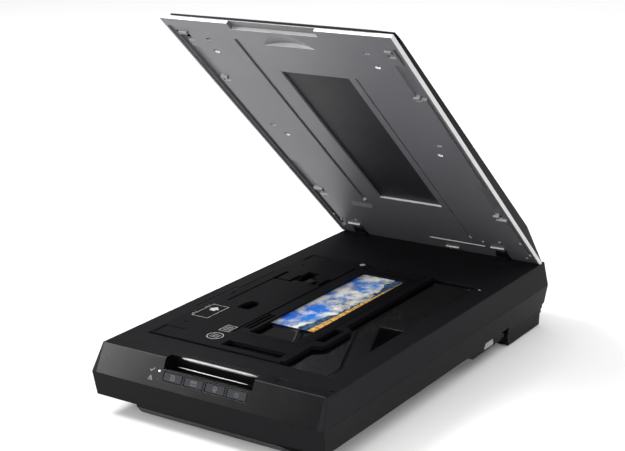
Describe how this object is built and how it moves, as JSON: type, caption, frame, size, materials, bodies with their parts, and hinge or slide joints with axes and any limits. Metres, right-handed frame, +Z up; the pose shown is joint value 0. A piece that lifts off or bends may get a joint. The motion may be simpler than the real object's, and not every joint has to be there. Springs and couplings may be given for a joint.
{
  "type": "flatbed scanner",
  "caption": "Flatbed scanner with a raised lid that holds a film light unit, a sloping button panel and a film holder on the glass.",
  "frame": {"origin": "on the table surface, under the middle of the base", "axes": "+X to the right seen from the front, +Y towards the hinge side, +Z up"},
  "size_m": [0.28, 0.485, 0.3928],
  "materials": {
    "case_black": "fine textured moulded ABS",
    "key_surround": "satin",
    "button_grey": "satin with printed symbols",
    "lid_silver": "satin silver paint on plastic",
    "holder_black": "fine matt",
    "film": "glossy colour film",
    "document_glass": "float glass",
    "window_acrylic": "smoked acrylic",
    "diffuser_white": "opal acrylic",
    "rubber": "matt",
    "steel": "plated",
    "circuit_board": "solder mask on glass-fibre laminate",
    "dark_plastic": "moulded",
    "white_plastic": "acetal",
    "belt_rubber": "toothed belt rubber",
    "bronze": "sintered bronze",
    "mirror": "front-silvered",
    "lens_glass": "black barrel",
    "light_pipe": "clear light pipe",
    "label": "blank paper label"
  },
  "bodies": {
    "base": {"belt_tensioner": "dark_plastic", "board_chips": "dark_plastic", "button_switches": "dark_plastic", "calibration_strip": "diffuser_white", "carriage_motor": "steel", "case_screws": "steel", "document_glass": "document_glass", "drive_belt": "belt_rubber", "error_light": "light_pipe", "front_panel": "case_black", "glass_retainers": "rubber", "grip_recess": "case_black", "guide_rod": "steel", "hinge_sockets": "dark_plastic", "key_frame": "key_surround", "lid_lamp_socket": "dark_plastic", "lower_case": "case_black", "main_board": "circuit_board", "motor_bracket": "steel", "panel_board": "circuit_board", "power_inlet": "dark_plastic", "ready_light": "light_pipe", "rod_clips": "dark_plastic", "rubber_feet": "rubber", "side_label": "label", "slide_rail": "dark_plastic", "tension_spring": "steel", "upper_case": "case_black", "usb_socket": "steel"},
    "carriage": {"carriage_frame": "dark_plastic", "carriage_bushes": "bronze", "scan_lamps": "diffuser_white", "scan_mirrors": "mirror", "scan_lens": "lens_glass", "sensor_board": "circuit_board", "glide_pads": "white_plastic", "belt_clip": "dark_plastic"},
    "drive_pulley": {"drive_pulley": "white_plastic"},
    "idler_pulley": {"idler_pulley": "white_plastic"},
    "hinge_lift": {"hinge_leg_left": "dark_plastic", "hinge_leg_right": "dark_plastic"},
    "lid": {"lid_cover": "case_black", "lid_tray": "lid_silver", "mat_catches": "lid_silver", "lid_screws": "steel", "lid_pegs": "dark_plastic", "lamp_window": "window_acrylic", "light_diffuser": "diffuser_white", "light_guide": "diffuser_white", "lid_led_bars": "circuit_board", "lamp_driver_board": "circuit_board", "hinge_pins": "steel"},
    "button_1": {"button_1": "button_grey"},
    "button_2": {"button_2": "button_grey"},
    "button_3": {"button_3": "button_grey"},
    "button_4": {"button_4": "button_grey"},
    "film_holder": {"film_holder": "holder_black", "film_strip": "film"},
    "film_cover": {"film_cover": "holder_black"},
    "transport_lock": {"transport_lock": "dark_plastic"}
  },
  "joints": [
    {"name": "hinge_lift", "type": "slide", "parent": "base", "child": "hinge_lift", "axis": [0, 0, 1], "range_m": [0, 0.025]},
    {"name": "lid_tilt", "type": "hinge", "parent": "hinge_lift", "child": "lid", "pos_m": [0, 0.2284, 0.0834], "axis": [-1, 0, 0], "range_deg": [-42.4, 117.6]},
    {"name": "carriage_travel", "type": "slide", "parent": "base", "child": "carriage", "axis": [0, 1, 0], "range_m": [-0.322, 0]},
    {"name": "drive_pulley_spin", "type": "hinge", "parent": "base", "child": "drive_pulley", "pos_m": [0.04, 0.209, 0.014], "axis": [0, 0, 1], "continuous": true},
    {"name": "idler_pulley_spin", "type": "hinge", "parent": "base", "child": "idler_pulley", "pos_m": [0.04, -0.203, 0.014], "axis": [0, 0, 1], "continuous": true},
    {"name": "film_holder_lift", "type": "slide", "parent": "base", "child": "film_holder", "axis": [0, 0, 1], "range_m": [0, 0.06]},
    {"name": "film_cover_hinge", "type": "hinge", "parent": "film_holder", "child": "film_cover", "pos_m": [-0.0372, -0.02, 0.0754], "axis": [0, -1, 0], "range_deg": [0, 105]},
    {"name": "transport_lock_slide", "type": "slide", "parent": "base", "child": "transport_lock", "axis": [0, 1, 0], "range_m": [0, 0.006]},
    {"name": "button_1_press", "type": "slide", "parent": "base", "child": "button_1", "axis": [0, 0.8944, -0.4472], "range_m": [0, 0.0012], "stiffness_N_per_m": 300, "springref_m": -0.0005},
    {"name": "button_2_press", "type": "slide", "parent": "base", "child": "button_2", "axis": [0, 0.8944, -0.4472], "range_m": [0, 0.0012], "stiffness_N_per_m": 300, "springref_m": -0.0005},
    {"name": "button_3_press", "type": "slide", "parent": "base", "child": "button_3", "axis": [0, 0.8944, -0.4472], "range_m": [0, 0.0012], "stiffness_N_per_m": 300, "springref_m": -0.0005},
    {"name": "button_4_press", "type": "slide", "parent": "base", "child": "button_4", "axis": [0, 0.8944, -0.4472], "range_m": [0, 0.0012], "stiffness_N_per_m": 300, "springref_m": -0.0005}
  ],
  "couplings": [
    {"joint": "drive_pulley_spin", "follows": "carriage_travel", "rad_per_m": -114.29},
    {"joint": "idler_pulley_spin", "follows": "carriage_travel", "rad_per_m": -114.29}
  ]
}
